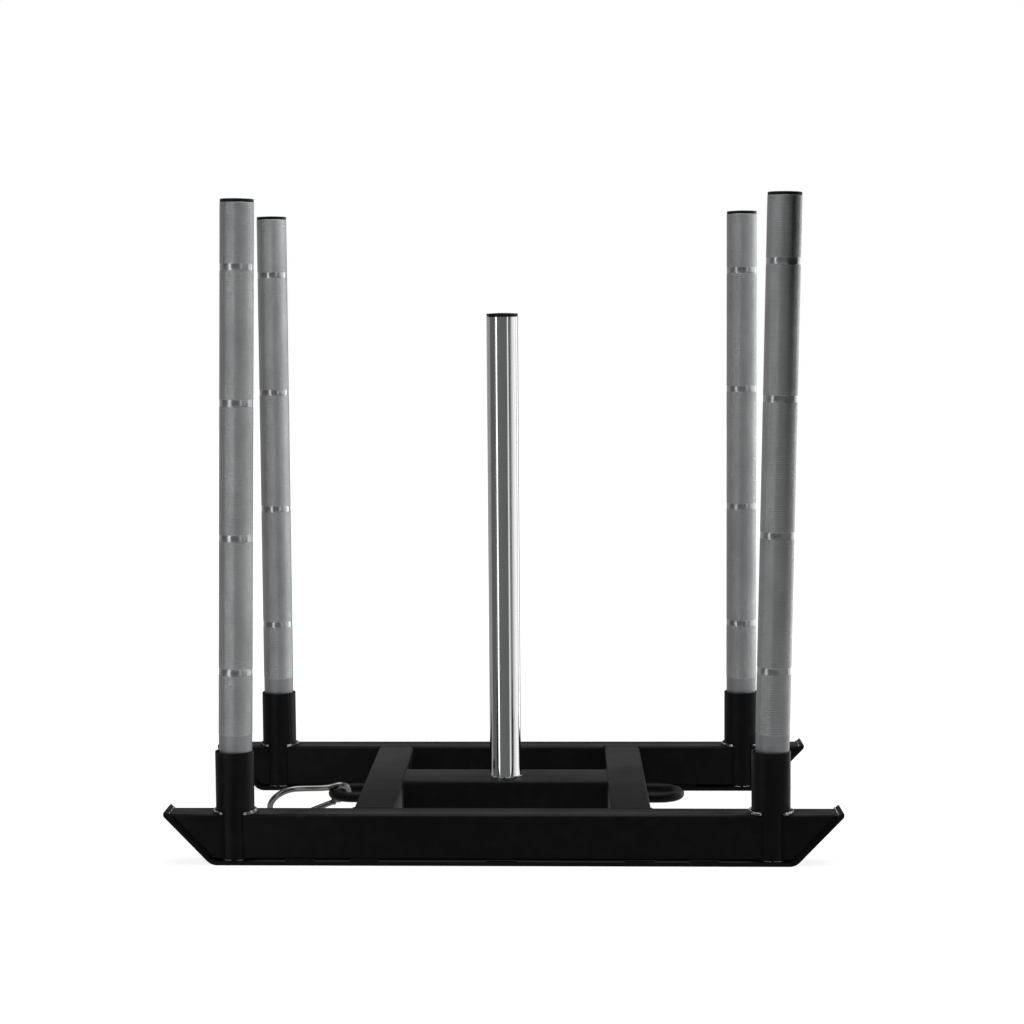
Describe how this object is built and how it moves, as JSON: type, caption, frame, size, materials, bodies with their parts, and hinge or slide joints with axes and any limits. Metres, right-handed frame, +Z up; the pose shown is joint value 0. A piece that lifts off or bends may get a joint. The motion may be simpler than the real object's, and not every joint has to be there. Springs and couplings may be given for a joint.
{
  "type": "push sled",
  "caption": "Gym push sled: two railed skids, welded deck with a weight post, lift-out knurled push poles in sleeves, tow loops and a snap hook.",
  "frame": {"origin": "on the floor, under the middle of the sled", "axes": "+X along the skids towards the end without the snap hook, +Y across the sled to the side away from the viewer, +Z up"},
  "size_m": [1.0096, 0.6, 0.9893],
  "materials": {
    "black_powder_coat": "satin black powder coat",
    "polished_chrome": "polished chrome plate",
    "hook_chrome": "bright plated wire",
    "satin_steel": "textured satin chrome grip with smooth bands",
    "spring_steel": "bare spring steel",
    "black_plastic": "moulded black plug"
  },
  "bodies": {
    "sled_frame": {"near_rail_left_end": "black_powder_coat", "near_rail_middle": "black_powder_coat", "near_rail_right_end": "black_powder_coat", "far_rail_left_end": "black_powder_coat", "far_rail_middle": "black_powder_coat", "far_rail_right_end": "black_powder_coat", "near_skid": "black_powder_coat", "far_skid": "black_powder_coat", "near_left_sleeve": "black_powder_coat", "near_right_sleeve": "black_powder_coat", "far_left_sleeve": "black_powder_coat", "far_right_sleeve": "black_powder_coat", "left_cross_member": "black_powder_coat", "right_cross_member": "black_powder_coat", "middle_beam": "black_powder_coat", "left_tow_loop": "black_powder_coat", "right_tow_loop": "black_powder_coat", "weight_post": "polished_chrome", "weight_post_cap": "black_plastic"},
    "near_left_push_pole": {"near_left_pole": "satin_steel", "near_left_pole_cap": "black_plastic"},
    "near_right_push_pole": {"near_right_pole": "satin_steel", "near_right_pole_cap": "black_plastic"},
    "far_left_push_pole": {"far_left_pole": "satin_steel", "far_left_pole_cap": "black_plastic"},
    "far_right_push_pole": {"far_right_pole": "satin_steel", "far_right_pole_cap": "black_plastic"},
    "snap_hook": {"snap_hook_body": "hook_chrome"},
    "snap_hook_gate": {"snap_hook_gate": "hook_chrome", "snap_hook_rivet": "hook_chrome", "snap_hook_latch_pin": "hook_chrome", "snap_hook_spring": "spring_steel", "snap_hook_plunger": "spring_steel"}
  },
  "joints": [
    {"name": "near_left_pole_lift", "type": "slide", "parent": "sled_frame", "child": "near_left_push_pole", "axis": [0.0198, 0, 0.9998], "range_m": [0, 0.15]},
    {"name": "near_right_pole_lift", "type": "slide", "parent": "sled_frame", "child": "near_right_push_pole", "axis": [0.0198, 0, 0.9998], "range_m": [0, 0.15]},
    {"name": "far_left_pole_lift", "type": "slide", "parent": "sled_frame", "child": "far_left_push_pole", "axis": [0, 0, 1], "range_m": [0, 0.15]},
    {"name": "far_right_pole_lift", "type": "slide", "parent": "sled_frame", "child": "far_right_push_pole", "axis": [0, 0, 1], "range_m": [0, 0.15]},
    {"name": "snap_hook_swing", "type": "hinge", "parent": "sled_frame", "child": "snap_hook", "pos_m": [-0.27684, -0.01238, 0.047], "axis": [-0.3391, 0.9407, 0], "range_deg": [0, 95]},
    {"name": "snap_hook_gate_swing", "type": "hinge", "parent": "snap_hook", "child": "snap_hook_gate", "pos_m": [-0.28054, 0.01175, 0.02962], "axis": [-0.3012, 0.725, 0.6194], "range_deg": [0, 26], "stiffness_Nm_per_rad": 0.4, "springref_deg": -17.19}
  ]
}
